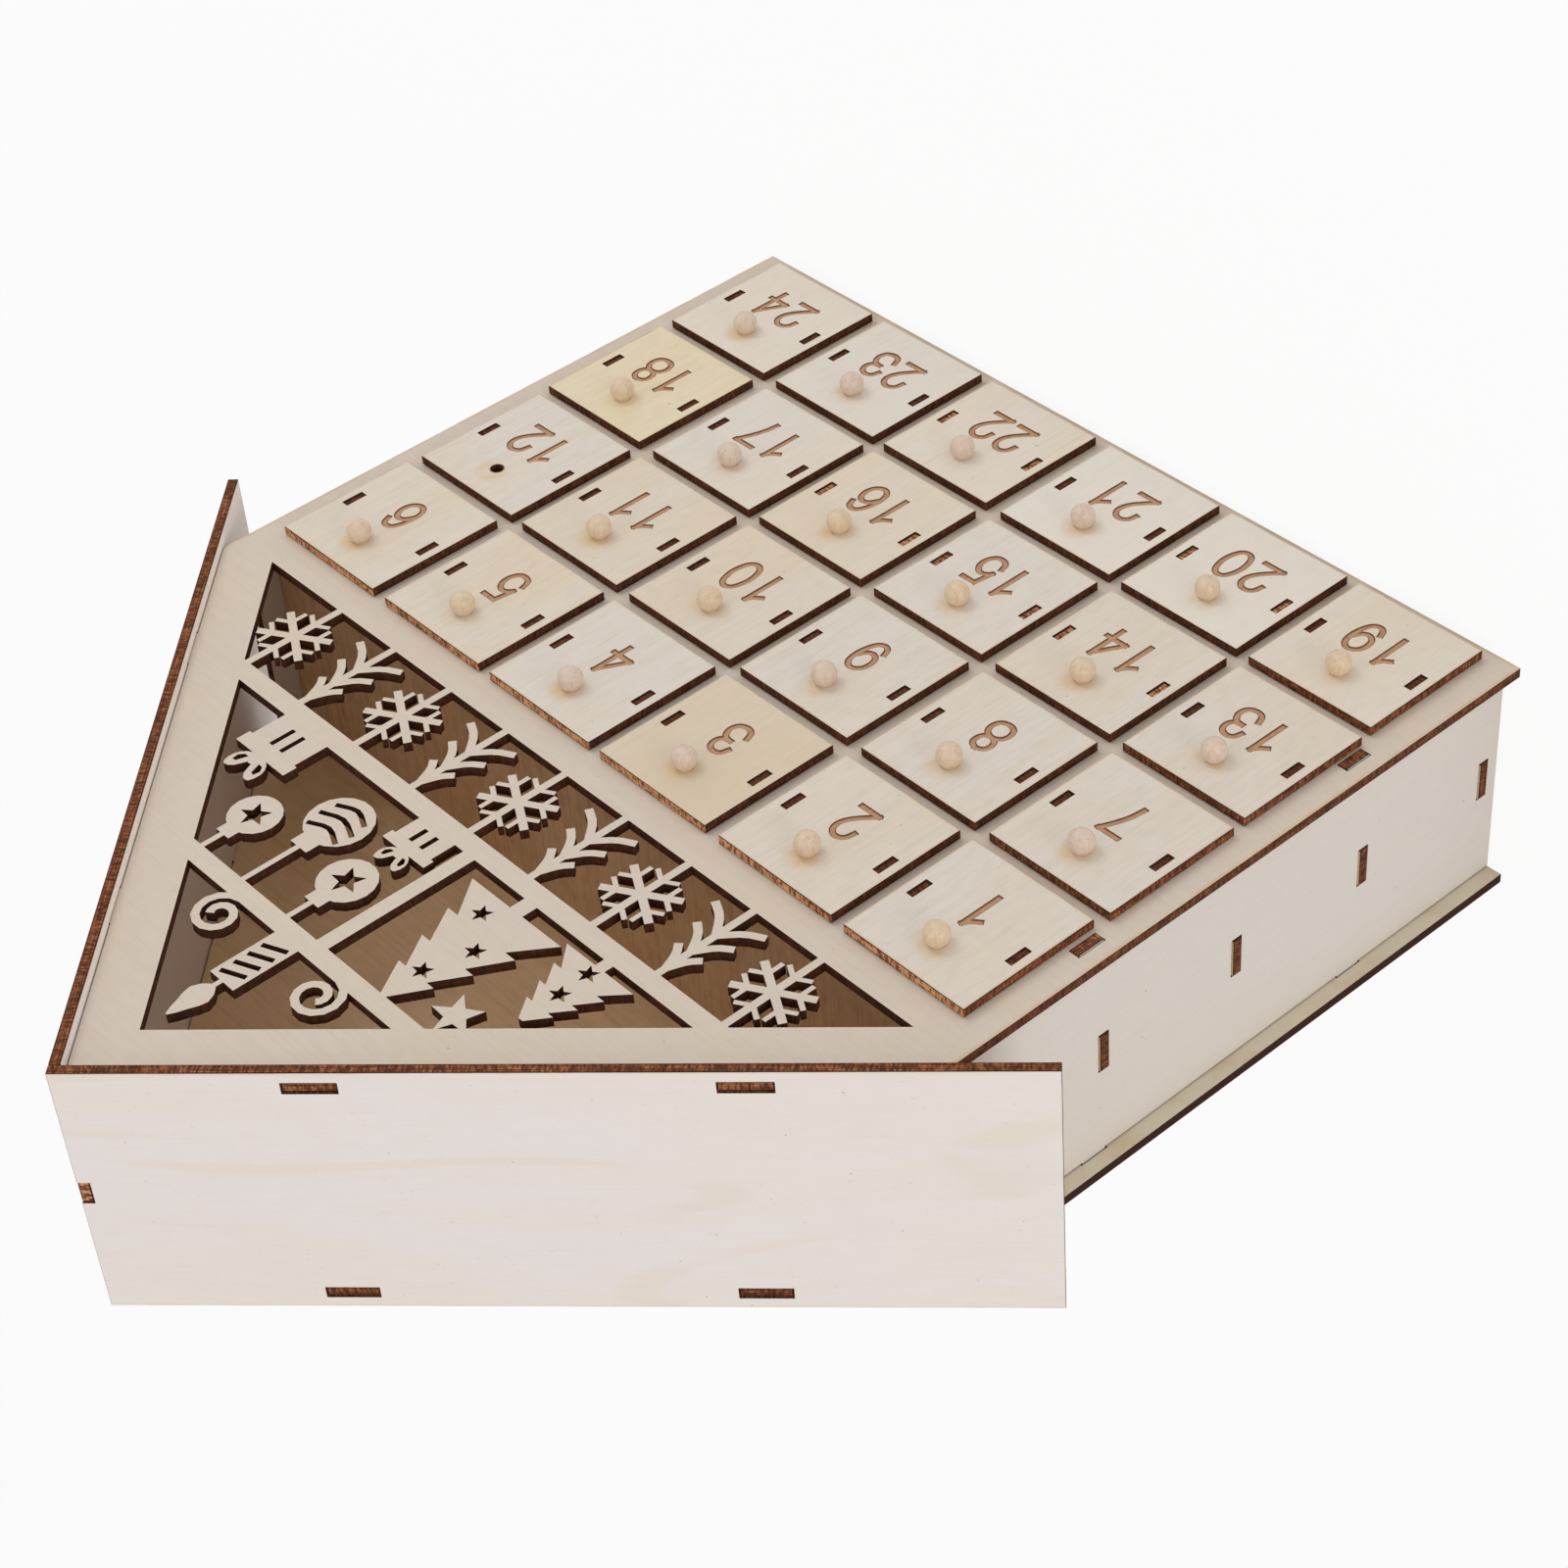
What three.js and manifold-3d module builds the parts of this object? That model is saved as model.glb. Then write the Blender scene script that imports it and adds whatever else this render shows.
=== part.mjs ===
// Wooden drawer advent calendar: a house of laser-cut plywood with 24 numbered drawers.
// Millimetres, +Z up. The house stands on its base edges and its front faces -Y.
// X is to the right as seen from the front, and the origin is the middle of the footprint.

import * as THREE from 'three';
import { mergeVertices } from 'three/addons/utils/BufferGeometryUtils.js';
import Module from 'manifold-3d';

const wasm = await Module();
wasm.setup();

// Plywood sheets
const sheet = 3;
const traySheet = 2;
const frontSheet = 2.8;

// Clearances
const seatGap = 0.3;
const slotGap = 0.3;
const glueGap = 0.1;
const closedGap = 0.2;
const tabRecess = 0.5;
const tabStand = 0.4;
const overrun = 1;

// House
const panelWidth = 300;
const innerDepth = 70.6;
const roofPitch = THREE.MathUtils.degToRad(45);
const wallInset = 5;
const wallDrop = 3;
const atticDrop = 11.4;
const baseLift = 4.3;

// Roof boards
const eaveOverhang = 28.1;
const roofOverhang = 3.8;
const ridgeTabLength = 6.6;
const roofTabLength = 13.2;
const peakToUpperTab = 60.3;
const eaveToLowerTab = 46.7;

// Tabs of the walls and of the shelves
const wallTabHeight = 8.6;
const wallTabLift = 2.4;
const shelfTabLength = 12.2;
const rearTabSpacing = 144;

// Drawers
const columns = 6;
const rows = 4;
const trayHeight = 37.5;
const headroom = 8.3;
const topHeadroom = 5.4;
const traySideGap = 3.9;
const trayRearGap = 5.7;
const openingGap = 1;
const gapBesideFronts = 4.9;
const gapAboveFronts = 4.3;
const trayTabHeight = 6.6;
const traySlotGap = 0.1;

// Knobs
const knobRadius = 3.6;
const knobCentreHeight = 3.1;
const knobFromTop = 11.6;
const knobHoleRadius = 1.9;
const knobSides = 12;
const knobRings = 6;
const bareDrawer = '12';

// How far each drawer leans to one side in its opening, row by row
const leanShares = [
  0.6, 0.2, 0.5, 0.1, 0.0, 0.7,
  -0.7, -0.5, 0.0, -0.6, -0.2, -0.4,
  -0.2, -0.6, -0.3, 0.1, -0.5, 0.7,
  0.7, 0.1, -0.3, 0.6, 0.3, 0.7,
];

// Gable fretwork
const gableBorder = 15.4;
const bandDrop = 5.6;
const bandHeight = 31.4;
const lowerBar = 6.2;
const cellHeight = 46.4;
const upperBar = 5.8;
const postOffset = -7.4;
const postWidth = 4.8;
const strokeWidth = 2.4;
const slitWidth = 1.5;
const fuse = 1.2;

// Sizes that follow from the ones above
const drawerCount = columns * rows;
const wallCentre = panelWidth / 2 - wallInset - sheet / 2;
const wallInner = panelWidth / 2 - wallInset - sheet;
const columnPitch = (wallInner + wallInner + sheet) / columns;
const rowPitch = trayHeight + headroom + sheet;
const topBay = trayHeight + topHeadroom;
const eaveHeight = shelfTop(rows - 1) + topBay + sheet + atticDrop;
const wallHeight = eaveHeight - wallDrop;
const outerDepth = innerDepth + sheet + sheet;
const midDepth = outerDepth / 2;
const rise = Math.tan(roofPitch);
const slopeCos = Math.cos(roofPitch);
const slopeSin = Math.sin(roofPitch);
const slopeLength = panelWidth / 2 / slopeCos;
const panelPeak = eaveHeight + (panelWidth / 2) * rise;
const roofPeak = panelPeak + (sheet + seatGap) / slopeCos;
const ridgeToPeak = (sheet + seatGap) * rise;
const roofLength = ridgeToPeak + slopeLength + eaveOverhang;
const roofBackY = outerDepth + roofOverhang;
const roofTabCentres = [peakToUpperTab, slopeLength - eaveToLowerTab];
const frontWidth = columnPitch - gapBesideFronts;
const frontHeight = rowPitch - gapAboveFronts;
const frontFaceY = -closedGap - frontSheet;
const trayFrontY = glueGap - closedGap;
const trayBackY = sheet + innerDepth - trayRearGap;
const trayWidth = columnPitch - sheet - traySideGap - traySideGap;
const knobTipY = frontFaceY - knobCentreHeight - knobRadius;
const footprintMiddleY = (knobTipY + roofBackY) / 2;

// Materials
function plywood(colour) {
  return new THREE.MeshStandardMaterial({ color: colour, roughness: 0.75, metalness: 0 });
}
const panelColour = 0xd7cdbe;
const roofColour = 0xe6ded8;
const wallColour = 0xd2cbc4;
const innerColour = 0xb79c7c;
const drawerColour = 0xd9d0c0;
const yellowColour = 0xdcc993;
const trayColour = 0xcdbfa6;

// Solids and booleans
function solidOf(geometry) {
  const bare = geometry.clone();
  bare.deleteAttribute('normal');
  bare.deleteAttribute('uv');
  const merged = mergeVertices(bare);
  const vertProperties = merged.attributes.position.array;
  const triVerts = merged.index.array;
  return new wasm.Manifold(new wasm.Mesh({ numProp: 3, vertProperties, triVerts }));
}

function geometryOf(solid) {
  const { vertProperties, triVerts } = solid.getMesh();
  const geometry = new THREE.BufferGeometry();
  geometry.setAttribute('position', new THREE.BufferAttribute(new Float32Array(vertProperties), 3));
  geometry.setIndex(new THREE.BufferAttribute(new Uint32Array(triVerts), 1));
  geometry.computeVertexNormals();
  return geometry;
}

function joined(solids) {
  return solids.reduce((whole, solid) => whole.add(solid));
}

function piece(name, solid, colour) {
  const mesh = new THREE.Mesh(geometryOf(solid), plywood(colour));
  mesh.name = name;
  return mesh;
}

// Flat outlines, as lists of [across, up] points
function box(centreX, centreY, width, height) {
  const left = centreX - width / 2;
  const right = centreX + width / 2;
  const low = centreY - height / 2;
  const high = centreY + height / 2;
  return [[left, low], [right, low], [right, high], [left, high]];
}

function block(left, right, low, high) {
  return box((left + right) / 2, (low + high) / 2, right - left, high - low);
}

// A plate of the given outline and thickness, put in its place, less its holes
function plate(corners, holes, thickness, place) {
  const extruded = (outline, from, depth) => {
    const shape = new THREE.Shape(outline.map(([x, y]) => new THREE.Vector2(x, y)));
    const geometry = new THREE.ExtrudeGeometry(shape, { depth, bevelEnabled: false });
    geometry.translate(0, 0, from);
    place(geometry);
    return solidOf(geometry);
  };
  const board = extruded(corners, 0, thickness);
  if (holes.length === 0) {
    return board;
  }
  const cutters = holes.map((hole) => extruded(hole, -overrun, thickness + overrun + overrun));
  return board.subtract(joined(cutters));
}

// A plate cut in the XZ plane, from its front face at frontY back to frontY + thickness
function uprightPlate(corners, holes, frontY, thickness) {
  return plate(corners, holes, thickness, (geometry) => {
    geometry.rotateX(Math.PI / 2);
    geometry.translate(0, frontY + thickness, 0);
  });
}

// A plate cut in the YZ plane, from leftX to leftX + thickness
function sidePlate(corners, holes, leftX, thickness) {
  return plate(corners, holes, thickness, (geometry) => {
    geometry.rotateX(Math.PI / 2);
    geometry.rotateZ(Math.PI / 2);
    geometry.translate(leftX, 0, 0);
  });
}

// A plate cut in the XY plane, from its underside at lowZ up to lowZ + thickness
function levelPlate(corners, holes, lowZ, thickness) {
  return plate(corners, holes, thickness, (geometry) => {
    geometry.translate(0, 0, lowZ);
  });
}

// Levels: level 0 is the base, and level rows - 1 is the shelf under the top row
function shelfTop(level) {
  return baseLift + sheet + level * rowPitch;
}

function columnX(column) {
  return (column - (columns - 1) / 2) * columnPitch;
}

// Gable-shaped outline of the front and back panels, with tabs along both sloping edges
function gableOutline() {
  const tabReach = seatGap + sheet - tabRecess;
  const onSlope = (side, along, out) => [
    side * (along * slopeCos + out * slopeSin),
    panelPeak - along * slopeSin + out * slopeCos,
  ];
  const tabCorners = (side, centre) => {
    const near = centre - roofTabLength / 2;
    const far = centre + roofTabLength / 2;
    return [
      onSlope(side, near, 0),
      onSlope(side, near, tabReach),
      onSlope(side, far, tabReach),
      onSlope(side, far, 0),
    ];
  };
  const halfWidth = panelWidth / 2;
  const rightTabs = roofTabCentres.flatMap((centre) => tabCorners(1, centre));
  const leftTabs = roofTabCentres.flatMap((centre) => tabCorners(-1, centre));
  return [
    [-halfWidth, 0],
    [halfWidth, 0],
    [halfWidth, eaveHeight],
    ...rightTabs.reverse(),
    [0, panelPeak],
    ...leftTabs,
    [-halfWidth, eaveHeight],
  ];
}

// The walls' tabs pass through both panels beside the shelves of these levels
const wallTabLevels = [1, rows - 1];

function wallTabCentre(level) {
  return shelfTop(level) + wallTabLift;
}

function wallSlots() {
  const slotWidth = sheet + slotGap + slotGap;
  const slotHeight = wallTabHeight + slotGap + slotGap;
  const slots = [];
  for (const side of [-1, 1]) {
    for (const level of wallTabLevels) {
      slots.push(box(side * wallCentre, wallTabCentre(level), slotWidth, slotHeight));
    }
  }
  return slots;
}

// Fretwork strokes: a ribbon of constant width along a row of points
function stroke(points, width) {
  const half = width / 2;
  const left = [];
  const right = [];
  points.forEach(([x, y], index) => {
    const [x0, y0] = points[Math.max(index - 1, 0)];
    const [x1, y1] = points[Math.min(index + 1, points.length - 1)];
    const length = Math.hypot(x1 - x0, y1 - y0);
    const normalX = (-(y1 - y0) / length) * half;
    const normalY = ((x1 - x0) / length) * half;
    left.push([x + normalX, y + normalY]);
    right.push([x - normalX, y - normalY]);
  });
  return right.concat(left.reverse());
}

function smooth(points, steps, closed) {
  const vectors = points.map(([x, y]) => new THREE.Vector3(x, y, 0));
  const curve = new THREE.CatmullRomCurve3(vectors, closed, 'centripetal');
  const sampled = curve.getPoints(steps).map(({ x, y }) => [x, y]);
  return closed ? sampled.slice(0, -1) : sampled;
}

// Points given as shares of a motif's width and height, set out from its foot
function placed(shares, footX, footZ, width, height) {
  return shares.map(([u, v]) => [footX + u * width, footZ + v * height]);
}

function mirrored(halfShares) {
  const other = halfShares.map(([u, v]) => [-u, v]).reverse();
  return halfShares.concat(other);
}

function starOutline(centreX, centreZ, radius) {
  const innerShare = 0.42;
  const tips = 5;
  const points = [];
  for (let index = 0; index < tips * 2; index += 1) {
    const angle = Math.PI / 2 + (index * Math.PI) / tips;
    const reach = index % 2 ? radius * innerShare : radius;
    points.push([centreX + reach * Math.cos(angle), centreZ + reach * Math.sin(angle)]);
  }
  return points;
}

function ringOutline(centreX, centreZ, radius, sides) {
  const points = [];
  for (let index = 0; index < sides; index += 1) {
    const angle = (index * 2 * Math.PI) / sides;
    points.push([centreX + radius * Math.cos(angle), centreZ + radius * Math.sin(angle)]);
  }
  return points;
}

// Heights of the gable's openings
const bandBottom = eaveHeight - bandDrop;
const bandTop = bandBottom + bandHeight;
const cellBottom = bandTop + lowerBar;
const cellTop = cellBottom + cellHeight;
const peakBottom = cellTop + upperBar;
const openingPeak = panelPeak - gableBorder / slopeCos;
const postLeft = postOffset - postWidth / 2;
const postRight = postOffset + postWidth / 2;

function slopeX(z) {
  return (openingPeak - z) / rise;
}

const bandOpening = [
  [-slopeX(bandBottom), bandBottom],
  [slopeX(bandBottom), bandBottom],
  [slopeX(bandTop), bandTop],
  [-slopeX(bandTop), bandTop],
];
const leftOpening = [
  [-slopeX(cellBottom), cellBottom],
  [postLeft, cellBottom],
  [postLeft, cellTop],
  [-slopeX(cellTop), cellTop],
];
const rightOpening = [
  [postRight, cellBottom],
  [slopeX(cellBottom), cellBottom],
  [slopeX(cellTop), cellTop],
  [postRight, cellTop],
];
const peakOpening = [
  [-slopeX(peakBottom), peakBottom],
  [slopeX(peakBottom), peakBottom],
  [0, openingPeak],
];

// Band of fretwork: snow crystals and fir trees in turn, each joined to the bars above and below
const bandMotifs = 9;
const bandReachShare = 0.984;
const crystalArmShare = 0.363;
const barbLengthShare = 0.16;
const barbShare = 0.58;
const branchReachShares = [0.147, 0.23, 0.312];
const branchTopShares = [0.92, 0.66, 0.4];
const branchDropShare = 0.26;

function crystal(centreX) {
  const centreZ = bandBottom + bandHeight / 2;
  const crystalArm = bandHeight * crystalArmShare;
  const barbLength = bandHeight * barbLengthShare;
  const ray = (angle, from, to) => [
    [centreX + from * Math.cos(angle), centreZ + from * Math.sin(angle)],
    [centreX + to * Math.cos(angle), centreZ + to * Math.sin(angle)],
  ];
  const strokes = [stroke([[centreX, bandBottom - fuse], [centreX, bandTop + fuse]], strokeWidth)];
  const sixth = Math.PI / 3;
  for (const angle of [Math.PI / 2 - sixth, Math.PI / 2 + sixth]) {
    strokes.push(stroke(ray(angle, -crystalArm, crystalArm), strokeWidth));
  }
  for (let arm = 0; arm < 6; arm += 1) {
    const angle = Math.PI / 2 + arm * sixth;
    const [, [rootX, rootZ]] = ray(angle, 0, crystalArm * barbShare);
    for (const turn of [-sixth, sixth]) {
      const tip = [
        rootX + barbLength * Math.cos(angle + turn),
        rootZ + barbLength * Math.sin(angle + turn),
      ];
      strokes.push(stroke([[rootX, rootZ], tip], slitWidth));
    }
  }
  return strokes;
}

function bandTree(centreX) {
  const strokes = [stroke([[centreX, bandBottom - fuse], [centreX, bandTop + fuse]], strokeWidth)];
  branchReachShares.forEach((reachShare, index) => {
    const reach = bandHeight * reachShare;
    const topZ = bandBottom + bandHeight * branchTopShares[index];
    const lowZ = topZ - bandHeight * branchDropShare;
    const halfBend = reach / 2;
    for (const side of [-1, 1]) {
      const bough = [
        [centreX, topZ],
        [centreX + side * halfBend, (topZ + lowZ + lowZ) / 3],
        [centreX + side * reach, lowZ],
      ];
      strokes.push(stroke(smooth(bough, 5, false), strokeWidth));
    }
  });
  return strokes;
}

// Left cell: two fir trees with cut stars, and a star on the slope.
// A tree's shares of the cell's height are its place from the post, its width and its height.
const firShares = mirrored([
  [0.5, 0.1], [0.27, 0.34], [0.38, 0.34], [0.2, 0.57],
  [0.29, 0.57], [0.12, 0.78], [0.2, 0.78], [0.03, 1],
]);
const trunkShares = mirrored([[0.07, -0.03], [0.07, 0.12]]);
const tallFirShares = [0.5, 0.78, 1];
const shortFirShares = [1.17, 0.56, 0.6];
const tallStarShares = [[0, 0.74], [-0.11, 0.45], [0.16, 0.24]];
const shortStarShares = [[0, 0.56], [0.02, 0.22]];
const firStarShare = 0.067;
const slopeStarInsetShare = 0.142;
const slopeStarDropShare = 0.18;
const slopeStarShare = 0.16;

function firTree([placeShare, widthShare, heightShare], starShares) {
  const footX = postLeft - placeShare * cellHeight;
  const width = widthShare * cellHeight;
  const height = heightShare * cellHeight;
  const stars = placed(starShares, footX, cellBottom, width, height);
  return {
    shapes: [
      placed(firShares, footX, cellBottom, width, height),
      placed(trunkShares, footX, cellBottom, width, height),
    ],
    slits: stars.map(([x, z]) => starOutline(x, z, cellHeight * firStarShare)),
  };
}

function slopeStar() {
  const centreZ = cellTop - slopeStarDropShare * cellHeight;
  const centreX = slopeStarInsetShare * cellHeight - slopeX(centreZ);
  return { shapes: [starOutline(centreX, centreZ, cellHeight * slopeStarShare)], slits: [] };
}

// Right cell: baubles hung from the upper bar, and presents standing on the lower one.
// A bauble's shares of the cell's height are its place from the post, its drop and its radius.
const baubleShares = [[0.27, 0.4, 0.18], [0.7, 0.66, 0.21], [1.1, 0.36, 0.165]];
const baubleSides = 18;
const capShare = 0.36;
const stringWidth = 1.8;
const baubleStarShare = 0.6;
// Bands round the ball, in shares of its radius: their heights, their reach and their sag
const bandLevelShares = [-0.48, 0, 0.48];
const bandAcrossShare = 0.74;
const bandSagShare = 0.13;
// A present's shares of the cell's height are its place from the post, its width and its height
const presentShares = [[0.24, 0.33, 0.24], [1.5, 0.42, 0.33]];
const lidShare = 0.3;
const lidLip = 1.2;
const ribbonWidth = 3;
const ribbonFootShare = 0.14;
const bowShare = 0.62;
const knotShare = 0.12;
const loopShares = [[0.02, -0.1], [0.24, 0.52], [0.46, 0.56], [0.52, 0.2], [0.3, -0.08]];
const loopHoleShare = 0.45;

function bauble([placeShare, dropShare, radiusShare], index) {
  const x = postRight + placeShare * cellHeight;
  const z = cellTop - dropShare * cellHeight;
  const radius = radiusShare * cellHeight;
  const cap = radius * capShare;
  const bands = bandLevelShares.map((level) => {
    const across = Math.sqrt(1 - level * level) * bandAcrossShare;
    const ends = level + bandSagShare;
    const shares = [[-across, ends], [0, level - bandSagShare], [across, ends]];
    return stroke(smooth(placed(shares, x, z, radius, radius), 6, false), slitWidth);
  });
  return {
    shapes: [
      ringOutline(x, z, radius, baubleSides),
      block(x - cap, x + cap, z, z + radius + cap),
      block(x - stringWidth / 2, x + stringWidth / 2, z, cellTop + fuse),
    ],
    slits: index % 2 ? bands : [starOutline(x, z, radius * baubleStarShare)],
  };
}

function present([placeShare, widthShare, heightShare]) {
  const x = postRight + placeShare * cellHeight;
  const half = (widthShare * cellHeight) / 2;
  const height = heightShare * cellHeight;
  const top = cellBottom + height;
  const lidFoot = top - height * lidShare;
  const ribbonFoot = cellBottom + height * ribbonFootShare;
  const bowWidth = half * 2 * bowShare;
  const knotRadius = half * 2 * knotShare;
  const shapes = [
    block(x - half, x + half, cellBottom - fuse, top),
    block(x - half - lidLip, x + half + lidLip, lidFoot, top),
    ringOutline(x, top + knotRadius / 2, knotRadius, baubleSides / 2),
  ];
  const slits = [];
  for (const side of [-1, 1]) {
    const loop = loopShares.map(([u, v]) => [side * u, v]);
    const hole = placed(loop, x + side * knotRadius, top + knotRadius, bowWidth, bowWidth);
    const inward = hole.map(([u, v]) => [
      x + side * knotRadius + (u - x - side * knotRadius) * loopHoleShare,
      top + knotRadius + (v - top - knotRadius) * loopHoleShare,
    ]);
    const slitX = x + (side * (ribbonWidth + slitWidth)) / 2;
    shapes.push(smooth(placed(loop, x, top + knotRadius / 2, bowWidth, bowWidth), 12, true));
    slits.push(block(slitX - slitWidth / 2, slitX + slitWidth / 2, ribbonFoot, lidFoot - slitWidth / 2));
    slits.push(inward);
  }
  return { shapes, slits };
}

// Peak cell: a striped candle between two scrolls, in shares of the cell's height
const candleWidthShare = 0.23;
const candleHeightShare = 0.45;
const stripes = 4;
const stripeRiseShare = 0.15;
const wickWidthShare = 0.16;
const wickHeightShare = 0.12;
const flameWidthShare = 0.18;
const flameHeightShare = 0.32;
const flameShares = mirrored([[0.14, 0], [0.5, 0.3], [0.3, 0.66], [0.04, 1]]);
const scrollPlaceShare = 0.48;
const scrollRadiusShare = 0.17;
const scrollTurns = 1.35;
const scrollEndShare = 0.3;
const scrollSteps = 18;
const peakHeight = openingPeak - peakBottom;

function candle() {
  const halfWidth = (peakHeight * candleWidthShare) / 2;
  const height = peakHeight * candleHeightShare;
  const top = peakBottom + height;
  const halfWick = halfWidth * wickWidthShare;
  const flameFoot = top + height * wickHeightShare;
  const flame = [peakHeight * flameWidthShare, peakHeight * flameHeightShare];
  const stripeRise = height * stripeRiseShare;
  const step = (height - stripeRise) / stripes;
  const reach = halfWidth - slitWidth;
  const slits = [];
  for (let index = 0; index < stripes; index += 1) {
    const low = peakBottom + step * (index + 1 / 2);
    slits.push(stroke([[-reach, low], [reach, low + stripeRise]], slitWidth));
  }
  return {
    shapes: [
      block(-halfWidth, halfWidth, peakBottom - fuse, top),
      block(-halfWick, halfWick, top - fuse, flameFoot + fuse),
      smooth(placed(flameShares, 0, flameFoot, ...flame), 16, true),
    ],
    slits,
  };
}

function scroll(side) {
  const scrollX = peakHeight * scrollPlaceShare;
  const scrollRadius = peakHeight * scrollRadiusShare;
  const centreZ = peakBottom + scrollRadius - strokeWidth / 2;
  const points = [];
  for (let index = 0; index <= scrollSteps; index += 1) {
    const share = index / scrollSteps;
    const angle = -Math.PI / 2 + share * scrollTurns * 2 * Math.PI;
    const radius = scrollRadius * (1 - share * (1 - scrollEndShare));
    points.push([side * (scrollX + radius * Math.cos(angle)), centreZ + radius * Math.sin(angle)]);
  }
  const ordered = side > 0 ? points : points.reverse();
  return { shapes: [stroke(ordered, strokeWidth)], slits: [] };
}

// All the fretwork as one solid: motifs fused to the bars, with their slits and stars cut
function fretwork() {
  const motif = (outline) => uprightPlate(outline, [], 0, sheet);
  const cutter = (outline) => uprightPlate(outline, [], -overrun, sheet + overrun + overrun);
  const ornaments = [
    firTree(tallFirShares, tallStarShares),
    firTree(shortFirShares, shortStarShares),
    slopeStar(),
    ...baubleShares.map(bauble),
    ...presentShares.map(present),
    candle(),
    scroll(-1),
    scroll(1),
  ];
  const shapes = ornaments.flatMap((ornament) => ornament.shapes);
  const slits = ornaments.flatMap((ornament) => ornament.slits);
  for (let index = 0; index < bandMotifs; index += 1) {
    const centreX = slopeX(bandTop) * bandReachShare * ((2 * index) / (bandMotifs - 1) - 1);
    shapes.push(...(index % 2 ? bandTree(centreX) : crystal(centreX)));
  }
  const gableSpace = uprightPlate(
    [
      [-slopeX(bandBottom) - fuse, bandBottom - fuse],
      [slopeX(bandBottom) + fuse, bandBottom - fuse],
      [0, openingPeak + fuse],
    ],
    [],
    0,
    sheet,
  );
  const whole = joined(shapes.map(motif)).intersect(gableSpace);
  return whole.subtract(joined(slits.map(cutter)));
}

// Front panel: drawer openings, wall slots and the fretwork gable, all cut from one sheet
function frontPanel() {
  const openingWidth = trayWidth + openingGap + openingGap;
  const openingHeight = trayHeight + openingGap + openingGap;
  const openings = [];
  for (let level = 0; level < rows; level += 1) {
    const centreZ = shelfTop(level) + seatGap + trayHeight / 2;
    for (let column = 0; column < columns; column += 1) {
      openings.push(box(columnX(column), centreZ, openingWidth, openingHeight));
    }
  }
  const cells = [bandOpening, leftOpening, rightOpening, peakOpening];
  const holes = [...openings, ...wallSlots(), ...cells];
  return uprightPlate(gableOutline(), holes, 0, sheet).add(fretwork());
}

// Heights of the level boards that have tabs in the walls and the back panel
const atticTop = eaveHeight - atticDrop;
const boardTops = [...Array(rows).keys()].map(shelfTop).concat(atticTop);

// Back panel: wall slots, and a pair of slots for the rear tabs of each level board
function backPanel() {
  const slotHeight = sheet + slotGap + slotGap;
  const slotLength = shelfTabLength + slotGap + slotGap;
  const slots = wallSlots();
  for (const top of boardTops) {
    for (const side of [-1, 1]) {
      slots.push(box((side * rearTabSpacing) / 2, top - sheet / 2, slotLength, slotHeight));
    }
  }
  return uprightPlate(gableOutline(), slots, outerDepth - sheet, sheet);
}

// Side wall: slots for the level boards, tabs that stand out of the front panel, and sunk rear tabs
function wall(side) {
  const nearY = sheet + seatGap;
  const farY = outerDepth - nearY;
  const corners = [[nearY, 0], [farY, 0]];
  const tabEdges = (centre) => [centre - wallTabHeight / 2, centre + wallTabHeight / 2];
  for (const level of wallTabLevels) {
    const [low, high] = tabEdges(wallTabCentre(level));
    corners.push([farY, low], [outerDepth - tabRecess, low], [outerDepth - tabRecess, high], [farY, high]);
  }
  corners.push([farY, wallHeight], [nearY, wallHeight]);
  for (const level of [...wallTabLevels].reverse()) {
    const [low, high] = tabEdges(wallTabCentre(level));
    corners.push([nearY, high], [-tabStand, high], [-tabStand, low], [nearY, low]);
  }
  const slotHeight = sheet + slotGap + slotGap;
  const slotLength = shelfTabLength + slotGap + slotGap;
  const slots = boardTops.map((top) => box(midDepth, top - sheet / 2, slotLength, slotHeight));
  return sidePlate(corners, slots, side * wallCentre - sheet / 2, sheet);
}

// Level board: a tab at mid depth that stands out of each wall, and two sunk tabs in the back panel
function levelBoard(top) {
  const endX = wallInner - seatGap;
  const tabX = wallInner + sheet + tabStand;
  const nearY = sheet + seatGap;
  const farY = outerDepth - nearY;
  const tabY = outerDepth - tabRecess;
  const halfTab = shelfTabLength / 2;
  const rearX = rearTabSpacing / 2;
  const sideTab = (side) => [
    [side * endX, midDepth - halfTab],
    [side * tabX, midDepth - halfTab],
    [side * tabX, midDepth + halfTab],
    [side * endX, midDepth + halfTab],
  ];
  const rearTab = (centre) => [
    [centre + halfTab, farY],
    [centre + halfTab, tabY],
    [centre - halfTab, tabY],
    [centre - halfTab, farY],
  ];
  const corners = [
    [-endX, nearY],
    [endX, nearY],
    ...sideTab(1),
    [endX, farY],
    ...rearTab(rearX),
    ...rearTab(-rearX),
    [-endX, farY],
    ...sideTab(-1).reverse(),
  ];
  return levelPlate(corners, [], top - sheet, sheet);
}

// Shelf with the five dividers of its row of drawers standing on it
function rack(level) {
  const top = shelfTop(level);
  const ceiling = level === rows - 1 ? top + topBay : shelfTop(level + 1) - sheet;
  const nearY = sheet + seatGap;
  const farY = outerDepth - nearY;
  const solids = [levelBoard(top)];
  for (let gap = 1; gap < columns; gap += 1) {
    const x = (columnX(gap - 1) + columnX(gap)) / 2;
    const divider = block(nearY, farY, top - sheet / 2, ceiling - seatGap);
    solids.push(sidePlate(divider, [], x - sheet / 2, sheet));
  }
  return joined(solids);
}

// Roof boards, cut flat: X runs down the slope from the ridge edge, Y to the back
const roofSlotLength = roofTabLength + slotGap + slotGap;
const panelMiddles = [sheet / 2, outerDepth - sheet / 2];

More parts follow.
